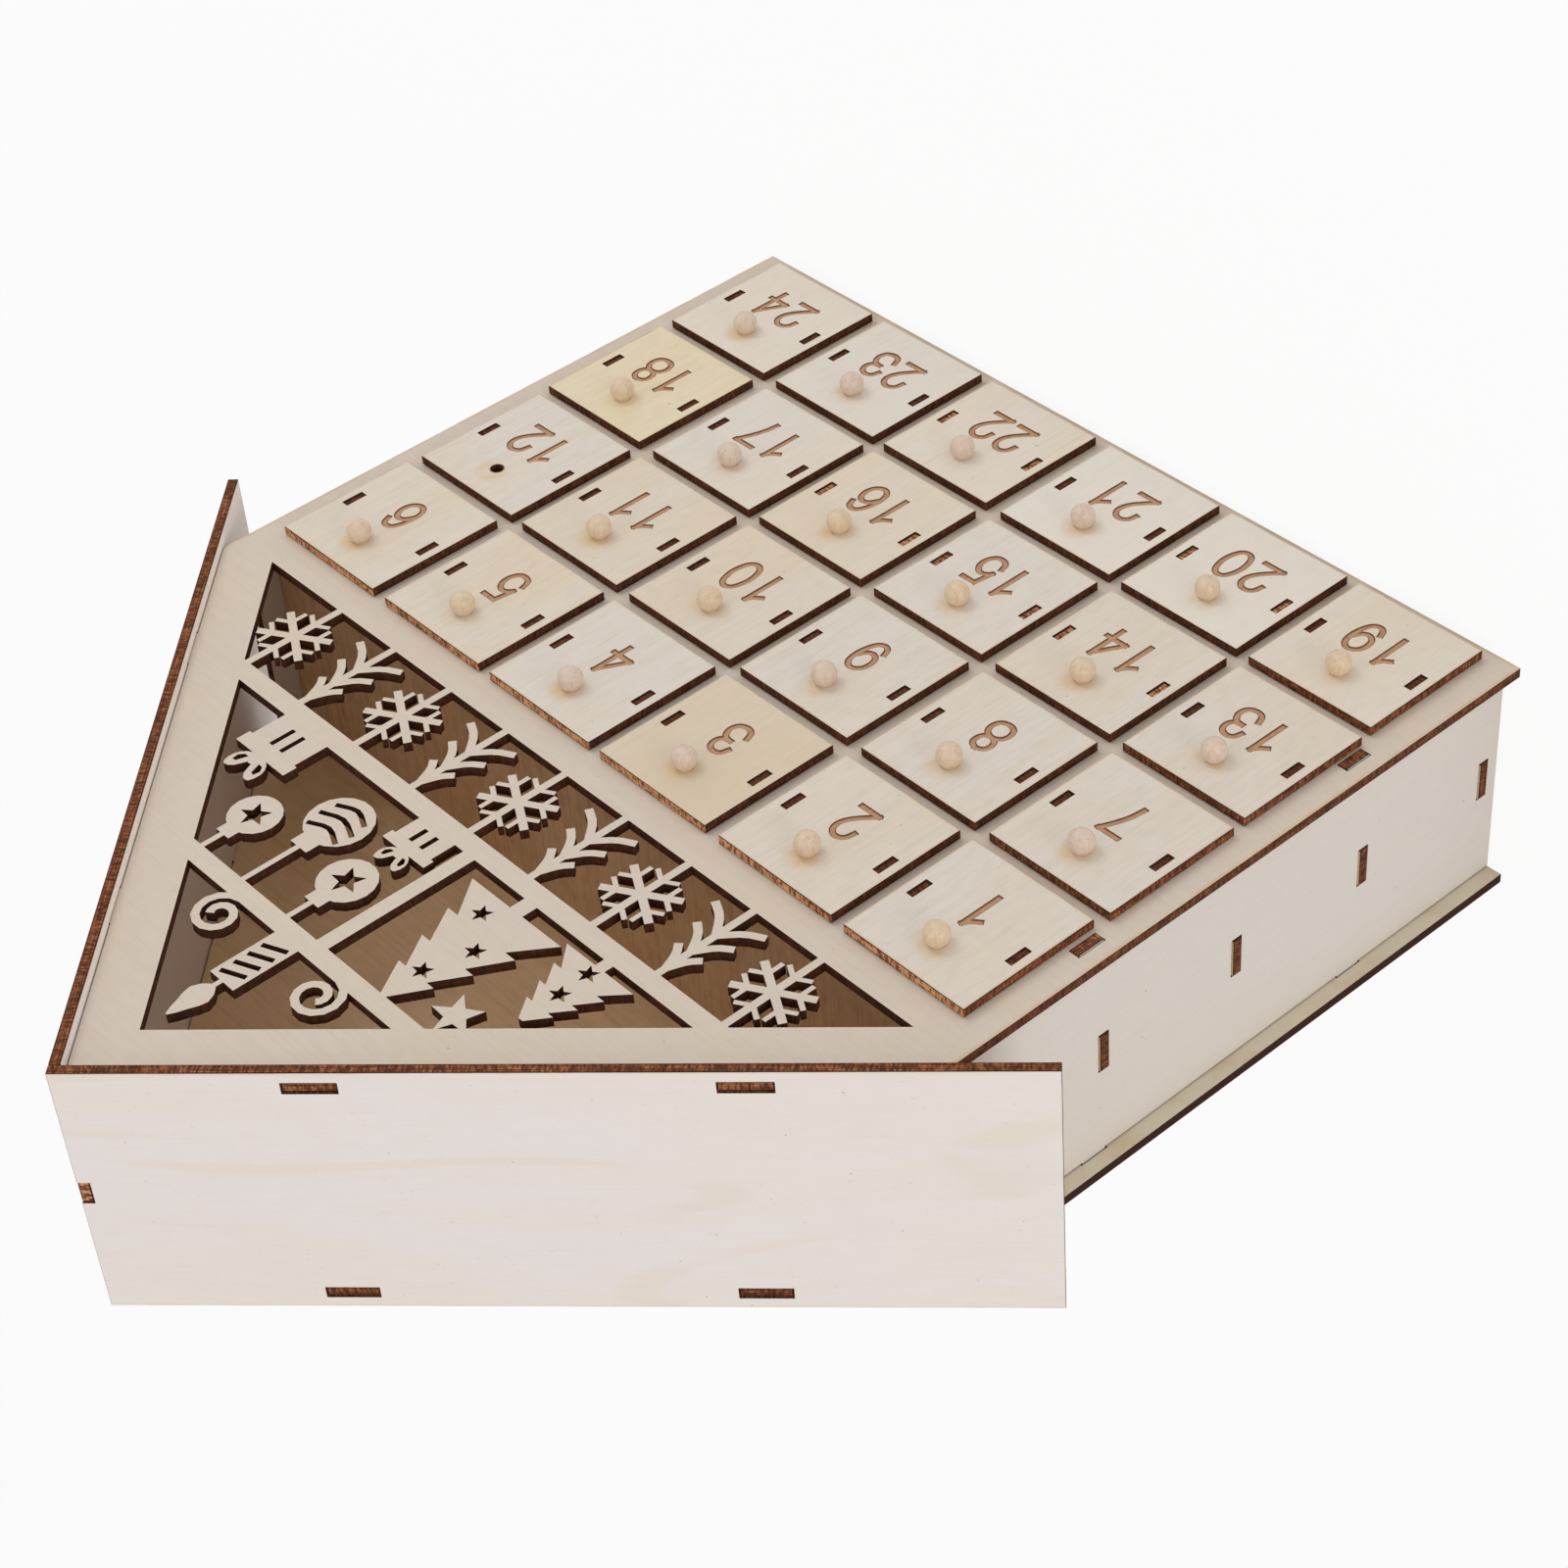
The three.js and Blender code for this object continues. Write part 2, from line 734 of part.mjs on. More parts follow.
function roofSlots() {
  const slotWidth = sheet + slotGap + slotGap;
  return roofTabCentres.flatMap((centre) =>
    panelMiddles.map((y) => box(centre + ridgeToPeak, y, roofSlotLength, slotWidth)));
}

// How far down its slope the right board starts, clear of the left board's inner face
const meeting = 2 * roofPitch;
const leanBack = Math.max(0, -Math.cos(meeting));
const buttStart = (sheet + seatGap + sheet * leanBack) / Math.sin(meeting);

function leftRoofBoard() {
  const near = -roofOverhang;
  const notchDepth = sheet * Math.sin(meeting) + buttStart * leanBack + slotGap;
  const halfNotch = ridgeTabLength / 2 + slotGap;
  const corners = [
    [0, near],
    [roofLength, near],
    [roofLength, roofBackY],
    [0, roofBackY],
    [0, midDepth + halfNotch],
    [notchDepth, midDepth + halfNotch],
    [notchDepth, midDepth - halfNotch],
    [0, midDepth - halfNotch],
  ];
  return levelPlate(corners, roofSlots(), 0, sheet);
}

function rightRoofBoard() {
  const near = -roofOverhang;
  const halfTab = ridgeTabLength / 2;
  const corners = [
    [buttStart, near],
    [roofLength, near],
    [roofLength, roofBackY],
    [buttStart, roofBackY],
    [buttStart, midDepth + halfTab],
    [tabRecess, midDepth + halfTab],
    [tabRecess, midDepth - halfTab],
    [buttStart, midDepth - halfTab],
  ];
  return levelPlate(corners, roofSlots(), -sheet, sheet);
}

// Drawers. In a drawer's own frame X is its middle, Z its underside, and Y the panel's front face
const traySideX = trayWidth / 2 - traySheet / 2;

function knob() {
  const geometry = new THREE.SphereGeometry(knobRadius, knobSides, knobRings);
  geometry.translate(0, frontFaceY - knobCentreHeight, knobHeight);
  return solidOf(geometry);
}

// Front of a drawer, with the two slots of its tray and the ball knob
const frontCentre = trayHeight / 2;
const knobHeight = frontCentre + frontHeight / 2 - knobFromTop;

function drawerFront(label) {
  const slotWidth = traySheet + traySlotGap + traySlotGap;
  const slotHeight = trayTabHeight + traySlotGap + traySlotGap;
  const holes = [-1, 1].map((side) => box(side * traySideX, frontCentre, slotWidth, slotHeight));
  if (label === bareDrawer) {
    holes.push(ringOutline(0, knobHeight, knobHoleRadius, knobSides));
  }
  const board = uprightPlate(box(0, frontCentre, frontWidth, frontHeight), holes, frontFaceY, frontSheet);
  return label === bareDrawer ? board : board.add(knob());
}

// Tray of a drawer: floor, back and two sides whose tabs reach through the front
function drawerTray() {
  const tabY = frontFaceY + tabRecess;
  const tabLow = frontCentre - trayTabHeight / 2;
  const tabHigh = frontCentre + trayTabHeight / 2;
  const sideCorners = [
    [trayFrontY, 0],
    [trayBackY, 0],
    [trayBackY, trayHeight],
    [trayFrontY, trayHeight],
    [trayFrontY, tabHigh],
    [tabY, tabHigh],
    [tabY, tabLow],
    [trayFrontY, tabLow],
  ];
  const sideLefts = [-1, 1].map((side) => side * traySideX - traySheet / 2);
  const sides = sideLefts.map((leftX) => sidePlate(sideCorners, [], leftX, traySheet));
  const floor = levelPlate(block(-trayWidth / 2, trayWidth / 2, trayFrontY, trayBackY), [], 0, traySheet);
  const backCorners = block(-trayWidth / 2, trayWidth / 2, 0, trayHeight);
  const back = uprightPlate(backCorners, [], trayBackY - traySheet, traySheet);
  return joined([...sides, floor, back]);
}

// The house
const calendar = new THREE.Group();
calendar.position.y = -footprintMiddleY;

calendar.add(
  piece('front_panel', frontPanel(), panelColour),
  piece('back_panel', backPanel(), panelColour),
  piece('left_wall', wall(-1), wallColour),
  piece('right_wall', wall(1), wallColour),
  piece('attic_floor', levelBoard(atticTop), innerColour),
  piece('base_rack', rack(0), innerColour),
);
for (let level = 1; level < rows; level += 1) {
  calendar.add(piece(`shelf_rack_${rows - level}`, rack(level), innerColour));
}

const leftRoof = piece('left_roof_board', leftRoofBoard(), roofColour);
leftRoof.position.z = roofPeak;
leftRoof.rotation.y = Math.PI - roofPitch;
const rightRoof = piece('right_roof_board', rightRoofBoard(), roofColour);
rightRoof.position.z = roofPeak;
rightRoof.rotation.y = roofPitch;
calendar.add(leftRoof, rightRoof);

// The drawers, numbered from the left of the top row
const yellowDrawer = '18';
for (let number = 1; number <= drawerCount; number += 1) {
  const row = Math.floor((number - 1) / columns);
  const column = (number - 1) % columns;
  const label = String(number).padStart(2, '0');
  const drawer = new THREE.Group();
  drawer.position.x = columnX(column) + leanShares[number - 1] * openingGap;
  drawer.position.z = shelfTop(rows - 1 - row) + seatGap;
  const frontColour = label === yellowDrawer ? yellowColour : drawerColour;
  drawer.add(
    piece(`drawer_front_${label}`, drawerFront(label), frontColour),
    piece(`drawer_tray_${label}`, drawerTray(), trayColour),
  );
  calendar.add(drawer);
}

export default calendar;
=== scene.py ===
# Wooden drawer advent calendar: a house-shaped cabinet of laser-cut plywood with 24 drawers.
# Metres, in the model's own frame: the house stands on the floor and its front faces -Y.

from math import cos, pi, radians, sin

import bmesh
import bpy
from mathutils import Matrix, Vector
from mathutils.geometry import interpolate_bezier


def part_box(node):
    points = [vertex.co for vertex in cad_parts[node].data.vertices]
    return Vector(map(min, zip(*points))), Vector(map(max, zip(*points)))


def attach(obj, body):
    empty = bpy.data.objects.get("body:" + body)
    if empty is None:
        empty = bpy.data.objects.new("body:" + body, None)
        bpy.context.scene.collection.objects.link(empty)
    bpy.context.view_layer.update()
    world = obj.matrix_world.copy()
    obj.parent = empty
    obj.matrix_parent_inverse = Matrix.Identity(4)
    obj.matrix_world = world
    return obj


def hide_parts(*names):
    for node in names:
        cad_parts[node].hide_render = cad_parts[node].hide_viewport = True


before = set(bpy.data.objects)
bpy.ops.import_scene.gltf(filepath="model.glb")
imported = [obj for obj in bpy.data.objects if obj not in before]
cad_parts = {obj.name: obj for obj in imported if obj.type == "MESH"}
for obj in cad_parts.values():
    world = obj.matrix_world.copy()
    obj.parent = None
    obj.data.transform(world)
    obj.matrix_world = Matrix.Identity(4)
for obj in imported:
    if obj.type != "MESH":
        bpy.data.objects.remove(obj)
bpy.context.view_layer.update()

# The view
# A long lens looks down on the left roof slope and the front from about 0.9 m. The camera
# is rolled, because the calendar was photographed lying on its back.
eye = Vector((-0.583365, -0.622660, 0.594690))
sight = Vector((0.595937, 0.649546, -0.472176))
roll = radians(-122.107)
lens = bpy.data.cameras.new("lens")
lens.sensor_width = 36.0
lens.lens = 79.80
lens.clip_start = 0.05
camera = bpy.data.objects.new("camera", lens)
turned = sight.to_track_quat("-Z", "Y").to_matrix().to_4x4() @ Matrix.Rotation(roll, 4, "Z")
camera.matrix_world = Matrix.Translation(eye) @ turned
bpy.context.scene.collection.objects.link(camera)
bpy.context.scene.camera = camera
bpy.context.scene.view_settings.view_transform = "Standard"

# Front panel
# One 3 mm sheet of three-ply basswood, laser-cut in one go: 24 drawer openings, the wall
# slots, the roof tabs and the fretwork of the gable. The cut walls are scorched brown.
X, Y, Z = Vector((1, 0, 0)), Vector((0, 1, 0)), Vector((0, 0, 1))
sheet = 0.003
scorched_arris = 0.00012
weld_distance = 0.000002
flat_angle = radians(0.5)
sharp_angle = radians(25)
smooth_angle = radians(28)
in_plane = 0.95
dark_toast = 0.06
# Painted light: cut faces that face up are toasted up to this much paler, as if lit from above.
upper_edge_painted_light_toast = 0.16


def linear(red, green, blue):
    """A colour read as 0 to 255 off a print, in the units of a shader."""
    shares = [value / 255 for value in (red, green, blue)]
    return tuple(s / 12.92 if s <= 0.04045 else ((s + 0.055) / 1.055) ** 2.4 for s in shares) + (1,)


def wired(tree, kind, *values, output=0, **settings):
    """A new node with its first sockets linked or set, and one of its outputs."""
    made = tree.nodes.new(kind)
    for name, value in settings.items():
        setattr(made, name, value)
    for socket, value in zip(made.inputs, values):
        if isinstance(value, bpy.types.NodeSocket):
            tree.links.new(value, socket)
        elif value is not None:
            socket.default_value = value
    return made.outputs[output]


def maths(tree, operation, *values):
    return wired(tree, "ShaderNodeMath", *values, operation=operation)


def ranged(tree, value, low, high, to_low=0.0, to_high=1.0):
    return wired(
        tree, "ShaderNodeMapRange", value, low, high, to_low, to_high,
        interpolation_type="SMOOTHSTEP",
    )


def mixed(tree, share, first, second, blend="MIX"):
    made = tree.nodes.new("ShaderNodeMix")
    made.data_type = "RGBA"
    made.blend_type = blend
    for index, value in ((0, share), (6, first), (7, second)):
        if isinstance(value, bpy.types.NodeSocket):
            tree.links.new(value, made.inputs[index])
        else:
            made.inputs[index].default_value = value
    return made.outputs[2]


def noise(tree, place, scales, detail=3.0, distortion=0.0):
    spread = wired(tree, "ShaderNodeVectorMath", place, scales, operation="MULTIPLY")
    made = tree.nodes.new("ShaderNodeTexNoise")
    made.inputs["Scale"].default_value = 1.0
    made.inputs["Detail"].default_value = detail
    made.inputs["Distortion"].default_value = distortion
    tree.links.new(spread, made.inputs["Vector"])
    return made.outputs[0]


def blank_finish(name, sheen=0.3):
    finish = bpy.data.materials.new(name)
    finish.use_nodes = True
    tree = finish.node_tree
    shader = tree.nodes["Principled BSDF"]
    shader.inputs["Specular IOR Level"].default_value = sheen
    return finish, tree, shader


def board_place(tree):
    """Where a point lies on its board, shifted from board to board, and the board's own traits."""
    place = wired(tree, "ShaderNodeAttribute", attribute_name="board", output=1)
    traits = wired(tree, "ShaderNodeAttribute", attribute_name="wood", output=1)
    split = tree.nodes.new("ShaderNodeSeparateXYZ")
    tree.links.new(traits, split.inputs[0])
    seed, warmth, toast = split.outputs
    shift = wired(tree, "ShaderNodeCombineXYZ", maths(tree, "MULTIPLY", seed, 0.731),
                  maths(tree, "MULTIPLY", seed, 0.413), maths(tree, "MULTIPLY", seed, 0.097))
    shifted = wired(tree, "ShaderNodeVectorMath", place, shift, operation="ADD")
    return place, shifted, warmth, toast


def veneer(name, plain, warm, fibre_colour, contrast=0.14, figure=0.12):
    """Rotary-cut basswood veneer: pale and nearly even, with fine short fibres, soft clouds and
    the golden lines of its growth rings. A board's third trait makes its veneer paler."""
    finish, tree, shader = blank_finish(name)
    place, shifted, warmth, pale = board_place(tree)
    fibres = noise(tree, shifted, (38, 1150, 3), 4.0)
    threads = noise(tree, shifted, (110, 3100, 3), 2.0)
    clouds = noise(tree, shifted, (7, 26, 2), 3.0, 0.9)
    mottle = noise(tree, shifted, (170, 300, 2), 5.0)
    pores = noise(tree, shifted, (420, 2900, 3), 1.0)
    specks = noise(tree, shifted, (620, 620, 2), 1.0)
    warmer = maths(tree, "ADD", ranged(tree, clouds, 0.38, 0.68, 0.0, 0.5), warmth)
    colour = mixed(tree, wired(tree, "ShaderNodeClamp", warmer), plain, warm)
    streaks = maths(tree, "ADD", ranged(tree, fibres, 0.4, 0.72, 0.0, contrast),
                    ranged(tree, mottle, 0.4, 0.68, 0.0, contrast * 0.8))
    colour = mixed(tree, wired(tree, "ShaderNodeClamp", streaks), colour, fibre_colour)
    rings = maths(tree, "SINE", maths(tree, "MULTIPLY", noise(tree, shifted, (3.4, 24, 1), 1.0), 40.0))
    broken = maths(tree, "MULTIPLY", ranged(tree, rings, 0.7, 1.0, 0.0, figure),
                   ranged(tree, noise(tree, shifted, (12, 60, 1), 2.0), 0.45, 0.6))
    colour = mixed(tree, broken, colour, linear(228, 206, 168))
    colour = mixed(tree, pale, colour, linear(240, 233, 222))
    colour = mixed(tree, ranged(tree, pores, 0.73, 0.8, 0.0, 0.3), colour, linear(160, 130, 100))
    colour = mixed(tree, ranged(tree, specks, 0.79, 0.83, 0.0, 0.45), colour, linear(128, 104, 84))
    tree.links.new(colour, shader.inputs["Base Color"])
    tree.links.new(ranged(tree, fibres, 0.3, 0.7, 0.56, 0.72), shader.inputs["Roughness"])
    relief = maths(tree, "ADD", fibres, maths(tree, "MULTIPLY", threads, 0.6))
    raised = tree.nodes.new("ShaderNodeBump")
    raised.inputs["Strength"].default_value = 0.25
    raised.inputs["Distance"].default_value = 0.00006
    tree.links.new(relief, raised.inputs["Height"])
    tree.links.new(raised.outputs[0], shader.inputs["Normal"])
    return finish, tree, shader, colour, place, shifted, warmth


def smoked(made, half_length, half_width, reach=0.0009, most=0.7):
    """Adds a golden haze, in patches, along a board's border: partly the stain that the laser's smoke
    leaves, partly a painted highlight where the lit arris catches the light.
    """
    finish, tree, shader, colour, place, shifted = made[:6]
    split = tree.nodes.new("ShaderNodeSeparateXYZ")
    tree.links.new(place, split.inputs[0])
    to_ends = maths(tree, "SUBTRACT", half_length, maths(tree, "ABSOLUTE", split.outputs[0]))
    to_sides = maths(tree, "SUBTRACT", half_width, maths(tree, "ABSOLUTE", split.outputs[1]))
    patches = noise(tree, shifted, (60, 60, 2), 3.0, 0.5)
    border = ranged(tree, maths(tree, "MINIMUM", to_ends, to_sides), 0.0, reach, most, 0.0)
    # Partly painted highlight: a golden band along the border where the arris catches the light, on top of
    # the smoke stain.
    smoke_and_highlight = maths(tree, "MULTIPLY", border, ranged(tree, patches, 0.35, 0.62, 0.3, 1.0))
    colour = mixed(tree, smoke_and_highlight, colour, linear(206, 168, 118))
    tree.links.new(colour, shader.inputs["Base Color"])
    return finish, tree, shader, colour, split


def laser_cut_edge(name):
    """A burnt cut through three plies: near black along both faces and at the glue lines, and
    browner in the core, with the streaks of the plies and the fine ripple of the beam."""
    finish, tree, shader = blank_finish(name, 0.1)
    place, shifted, _, toast = board_place(tree)
    split = tree.nodes.new("ShaderNodeSeparateXYZ")
    tree.links.new(place, split.inputs[0])
    depth = maths(tree, "ABSOLUTE", split.outputs[2])
    streaks = noise(tree, shifted, (75, 75, 4), 4.0, 0.4)
    ripple = noise(tree, shifted, (1300, 1300, 0.6), 2.0)
    pale = maths(tree, "MULTIPLY", toast, ranged(tree, streaks, 0.35, 0.68, 0.6, 1.6))
    pale = maths(tree, "MULTIPLY", pale, ranged(tree, ripple, 0.36, 0.66, 0.35, 1.6))
    burn = tree.nodes.new("ShaderNodeValToRGB")
    stops = burn.color_ramp.elements
    stops[0].color = linear(58, 33, 24)
    stops[1].color = linear(222, 168, 120)
    stops.new(0.4).color = linear(148, 88, 56)
    tree.links.new(pale, burn.inputs[0])
    colour = burn.outputs[0]
    glue = maths(tree, "ABSOLUTE", maths(tree, "SUBTRACT", depth, 0.36))
    colour = mixed(tree, ranged(tree, glue, 0.02, 0.12, 0.4, 0.0), colour, linear(46, 26, 19))
    colour = mixed(tree, ranged(tree, depth, 0.7, 0.92, 0.0, 0.9), colour, linear(34, 20, 15))
    tree.links.new(colour, shader.inputs["Base Color"])
    shader.inputs["Roughness"].default_value = 0.85
    raised = tree.nodes.new("ShaderNodeBump")
    raised.inputs["Strength"].default_value = 0.35
    raised.inputs["Distance"].default_value = 0.00008
    tree.links.new(maths(tree, "ADD", ripple, streaks), raised.inputs["Height"])
    tree.links.new(raised.outputs[0], shader.inputs["Normal"])
    return finish


def board_shape(node=None):
    """A bmesh with the two grain layers, holding a merged copy of a CAD node if one is named."""
    shape = bmesh.new()
    if node:
        shape.from_mesh(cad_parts[node].data)
        bmesh.ops.remove_doubles(shape, verts=shape.verts, dist=weld_distance)
        bmesh.ops.dissolve_limit(shape, angle_limit=flat_angle, verts=shape.verts, edges=shape.edges)
    shape.loops.layers.float_vector.new("board")
    shape.loops.layers.float_vector.new("wood")
    return shape


def scorch_arrises(shape, width=scorched_arris):
    """A hair's breadth off every sharp corner, which takes the near-black of the cut."""
    sharp = [edge for edge in shape.edges
             if len(edge.link_faces) == 2 and edge.calc_face_angle() > sharp_angle]
    bmesh.ops.bevel(shape, geom=sharp, offset=width, offset_type="OFFSET", segments=1,
                    profile=0.5, affect="EDGES", clamp_overlap=True, material=-1)


def lay_grain(shape, faces, middle, along, out, thickness, seed, warmth=0.0, pale=0.0, toasted=None):
    """Writes where each corner lies on its board, and gives cut faces the burnt material. The
    third trait is how pale the veneer is, and on a cut face how lightly it is toasted, with painted
    light on top: a cut face that faces up is painted paler."""
    board = shape.loops.layers.float_vector["board"]
    wood = shape.loops.layers.float_vector["wood"]
    across = out.cross(along)
    for face in faces:
        face.material_index = 0 if abs(face.normal.dot(out)) > in_plane else 1
        # Painted light: the more a cut face faces up, the paler it is painted, as if lit from above.
        toast = dark_toast + (upper_edge_painted_light_toast - dark_toast) * max(0, face.normal.z)
        if toasted is not None:
            toast = toasted(face, toast)
        if face.material_index == 0:
            toast = pale
        for loop in face.loops:
            reach = loop.vert.co - middle
            loop[board] = (reach.dot(along), reach.dot(across), 2 * reach.dot(out) / thickness)
            loop[wood] = (seed, warmth, toast)


def fitted(name, shape, finishes, body, slot, *nodes):
    """The finished piece: its mesh, its materials, the body it rides on and what it stands for."""
    mesh = bpy.data.meshes.new(name)
    shape.to_mesh(mesh)
    shape.free()
    for finish in finishes:
        mesh.materials.append(finish)
    for polygon in mesh.polygons:
        polygon.use_smooth = True
    mesh.set_sharp_from_angle(angle=smooth_angle)
    piece = bpy.data.objects.new(name, mesh)
    bpy.context.scene.collection.objects.link(piece)
    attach(piece, body)
    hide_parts(*nodes)
    return piece


def middle_of(node):
    low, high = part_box(node)
    return (low + high) / 2


burnt = laser_cut_edge("laser_cut_edge")
panel_half_width = 0.150
panel_half_height = 0.1805
panel_veneer = smoked(
    veneer("panel_veneer", linear(218, 204, 189), linear(219, 202, 179), linear(201, 185, 165)),
    panel_half_width, panel_half_height, 0.0016, 0.6)[0]
panel_peak = 0.361
beyond_outline = 0.001
at_outline = 0.0005


def panel_toast(tab, side, inside):
    """How lightly a gable panel's cut is toasted: at its roof tabs, its upright sides and elsewhere."""
    def toasted(face, toast):
        centre = face.calc_center_median()
        if abs(centre.x) + centre.z > panel_peak + beyond_outline:
            return tab
        return side if abs(centre.x) > panel_half_width - at_outline else inside
    return toasted


shape = board_shape("front_panel")
scorch_arrises(shape)
lay_grain(shape, shape.faces, middle_of("front_panel"), X, Y, sheet, 1.0,
          toasted=panel_toast(0.3, 0.14, 0.05))
fitted("fretwork_front", shape, [panel_veneer, burnt], "house", "panel_plywood", "front_panel")

# Back panel
# The same gable outline without openings. The walls' and shelves' tabs come through its slots.
# Its inner face is painted browner and warmer between the walls, as painted shade for the dim light inside
# the house that comes in by bouncing off wood.
wall_outside = 0.145
# Painted shade: a browner, warmer veneer for the inner face between the walls; outside the walls the paler
# rim with its stains.
inside_painted_shade, tree, shader, colour, place, shifted = veneer(
    "inside_painted_shade", linear(246, 213, 172), linear(240, 200, 152), linear(218, 178, 132), 0.3)[:6]
split = tree.nodes.new("ShaderNodeSeparateXYZ")
tree.links.new(place, split.inputs[0])
across = maths(tree, "ABSOLUTE", split.outputs[0])
stains = ranged(tree, noise(tree, shifted, (50, 50, 2), 3.0, 0.5), 0.5, 0.66, 0.0, 0.35)
rim = mixed(tree, stains, linear(222, 212, 190), linear(204, 172, 122))
colour = mixed(tree, ranged(tree, across, wall_outside - 0.0004, wall_outside), colour, rim)
tree.links.new(colour, shader.inputs["Base Color"])
shape = board_shape("back_panel")
scorch_arrises(shape)
lay_grain(shape, shape.faces, middle_of("back_panel"), X, Y, sheet, 2.3, 0.1,
          toasted=panel_toast(0.2, 0.0, 0.05))
for face in shape.faces:
    if face.normal.y < -in_plane:
        face.material_index = 2
fitted("rear_panel", shape, [panel_veneer, burnt, inside_painted_shade], "house", "panel_plywood", "back_panel")

# Side walls
# Upright 3 mm boards between the two panels, tabbed into both, with slots for the level boards.
wall_veneer = veneer(
    "wall_veneer", linear(220, 211, 202), linear(220, 208, 194), linear(205, 194, 183), 0.1, 0.1)[0]
front_tab_toast = 0.3
tab_end_depth = 0.0002
for side, seed in (("left", 3.1), ("right", 4.7)):
    node = f"{side}_wall"
    shape = board_shape(node)
    scorch_arrises(shape)
    tab_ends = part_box(node)[0].y + tab_end_depth
    lay_grain(shape, shape.faces, middle_of(node), Z, X, sheet, seed,
              toasted=lambda face, toast: front_tab_toast if face.calc_center_median().y < tab_ends
              else toast)
    fitted(f"{side}_side_wall", shape, [wall_veneer, burnt], "house", "wall_plywood", node)

# Level boards and dividers
# The attic floor and four shelves carry tabs at their ends and backs. Five upright dividers
# stand on each of the four shelves, and part the six drawers of a row.
# Painted shade: the boards inside the house are painted browner and warmer than the outer ones, for the dim
# light that reaches them by bouncing off wood.
inner_painted_shade_veneer = veneer(
    "inner_painted_shade_veneer", linear(240, 206, 166), linear(232, 190, 142), linear(204, 160, 116), 0.4)[0]
inner_width = 0.287
columns = 6
side_tab_toast = 0.19
at_shelf = 0.00002


def tab_toast(face, toast):
    return side_tab_toast if abs(face.calc_center_median().x) > wall_outside else toast


shape = board_shape("attic_floor")
scorch_arrises(shape)
lay_grain(shape, shape.faces, middle_of("attic_floor"), Y, Z, sheet, 5.2, toasted=tab_toast)
fitted("attic_board", shape, [inner_painted_shade_veneer, burnt], "house", "inner_plywood", "attic_floor")
for number, node in enumerate(("base_rack", "shelf_rack_3", "shelf_rack_2", "shelf_rack_1")):
    low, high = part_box(node)
    shelf_top = low.z + sheet
    shape = board_shape(node)
    scorch_arrises(shape)
    on_shelf = [face for face in shape.faces if face.calc_center_median().z < shelf_top + at_shelf]
    above = [face for face in shape.faces if face.calc_center_median().z >= shelf_top + at_shelf]
    middle = (low + high) / 2
    lay_grain(shape, on_shelf, Vector((middle.x, middle.y, low.z + sheet / 2)), Y, Z, sheet,
              6.1 + number, toasted=tab_toast)
    for divider in range(1, columns):
        x = (divider - columns / 2) * inner_width / columns
        near = [face for face in above if abs(face.calc_center_median().x - x) < sheet]
        upright = Vector((x, middle.y, (shelf_top + high.z) / 2))
        lay_grain(shape, near, upright, Z, X, sheet, 11.3 + number * 5 + divider)
    fitted(f"{node}_boards", shape, [inner_painted_shade_veneer, burnt], "house", "inner_plywood", node)

# Roof boards
# Two wide 3 mm boards at 45 degrees. The panels' tabs show in slots near their long edges, and
# the right board's ridge tab shows in the notch of the left one.
roof_pitch = radians(45)
roof_half_length = 0.1221
roof_half_depth = 0.0421
ridge_tab_toast = 0.7
roof_toast = 0.24
at_ridge = 0.0003
roof_veneer = smoked(
    veneer("roof_veneer", linear(238, 229, 225), linear(240, 226, 207), linear(227, 215, 207), 0.1, 0.18),
    roof_half_length, roof_half_depth, 0.0009, 0.5)[0]
for side, sign in (("left", -1), ("right", 1)):
    down_slope = Vector((sign * cos(roof_pitch), 0, -sin(roof_pitch)))
    outward = Vector((sign * sin(roof_pitch), 0, cos(roof_pitch)))
    node = f"{side}_roof_board"
    shape = board_shape(node)
    scorch_arrises(shape)
    outermost = max(vert.co.dot(outward) for vert in shape.verts)
    middle = middle_of(node)
    middle += outward * (outermost - sheet / 2 - middle.dot(outward))
    ridge = min(vert.co.dot(down_slope) for vert in shape.verts) + at_ridge
    lay_grain(shape, shape.faces, middle, down_slope, outward, sheet, 8.4 + sign,
              toasted=lambda face, toast: ridge_tab_toast
              if side == "right" and face.calc_center_median().dot(down_slope) < ridge else roof_toast)
    fitted(f"{side}_slope", shape, [roof_veneer, burnt], "house", "roof_plywood", node)

